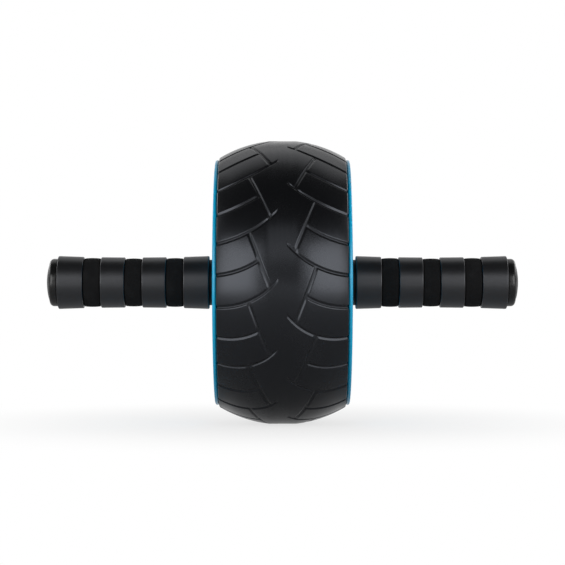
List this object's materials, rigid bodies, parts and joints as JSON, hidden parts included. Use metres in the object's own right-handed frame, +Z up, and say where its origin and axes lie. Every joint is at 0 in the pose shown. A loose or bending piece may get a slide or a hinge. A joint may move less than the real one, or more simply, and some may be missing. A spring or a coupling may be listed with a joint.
{
  "type": "ab wheel roller",
  "caption": "Wide barrel-shaped exercise wheel with a curved-groove tread and blue side covers, spinning on an axle between two waisted, banded hand grips.",
  "frame": {"origin": "the wheel's centre, on the axle's axis and half way between the two end caps", "axes": "+Y along the axle towards the right grip, +Z up, +X the way the wheel rolls, towards the picture's camera"},
  "size_m": [0.18, 0.3, 0.18],
  "materials": {
    "tyre_rubber": "satin moulded rubber with a fine grain",
    "drum_plastic": "moulded plastic",
    "cover_plastic": "glossy blue moulded plastic",
    "screw_steel": "zinc plated",
    "bearing_steel": "ground and polished",
    "cage_nylon": "moulded nylon",
    "axle_steel": "drawn bar",
    "collar_plastic": "glossy black",
    "core_plastic": "moulded plastic",
    "ring_rubber": "satin dark grey",
    "band_foam": "matte closed-cell foam",
    "cap_plastic": "glossy black"
  },
  "bodies": {
    "handlebar": {"handle_bolt_right": "screw_steel", "handle_bolt_left": "screw_steel", "handle_washer_right": "screw_steel", "handle_washer_left": "screw_steel", "inner_race_right": "bearing_steel", "inner_race_left": "bearing_steel", "axle": "axle_steel", "bearing_spacer": "axle_steel", "neck_collar_right": "collar_plastic", "neck_collar_left": "collar_plastic", "handle_core_right": "core_plastic", "handle_core_left": "core_plastic", "grip_ring_1_right": "ring_rubber", "grip_ring_2_right": "ring_rubber", "grip_ring_3_right": "ring_rubber", "grip_ring_4_right": "ring_rubber", "grip_ring_1_left": "ring_rubber", "grip_ring_2_left": "ring_rubber", "grip_ring_3_left": "ring_rubber", "grip_ring_4_left": "ring_rubber", "grip_band_1_right": "band_foam", "grip_band_2_right": "band_foam", "grip_band_3_right": "band_foam", "grip_band_1_left": "band_foam", "grip_band_2_left": "band_foam", "grip_band_3_left": "band_foam", "end_cap_right": "cap_plastic", "end_cap_left": "cap_plastic"},
    "wheel": {"tyre": "tyre_rubber", "drum_screws": "screw_steel", "drum_right": "drum_plastic", "cover_right": "cover_plastic", "cover_screws_right": "screw_steel", "outer_race_right": "bearing_steel", "drum_left": "drum_plastic", "cover_left": "cover_plastic", "cover_screws_left": "screw_steel", "outer_race_left": "bearing_steel"},
    "ball_set_right": {"bearing_balls_right": "bearing_steel", "bearing_cage_right": "cage_nylon"},
    "ball_set_left": {"bearing_balls_left": "bearing_steel", "bearing_cage_left": "cage_nylon"}
  },
  "joints": [
    {"name": "wheel_spin", "type": "hinge", "parent": "handlebar", "child": "wheel", "pos_m": [0, 0, 0], "axis": [0, 1, 0], "continuous": true},
    {"name": "ball_set_right_spin", "type": "hinge", "parent": "handlebar", "child": "ball_set_right", "pos_m": [0, 0.03, 0], "axis": [0, 1, 0], "continuous": true},
    {"name": "ball_set_left_spin", "type": "hinge", "parent": "handlebar", "child": "ball_set_left", "pos_m": [0, -0.03, 0], "axis": [0, 1, 0], "continuous": true}
  ],
  "couplings": [
    {"joint": "ball_set_right_spin", "follows": "wheel_spin", "ratio": 0.619},
    {"joint": "ball_set_left_spin", "follows": "wheel_spin", "ratio": 0.619}
  ]
}
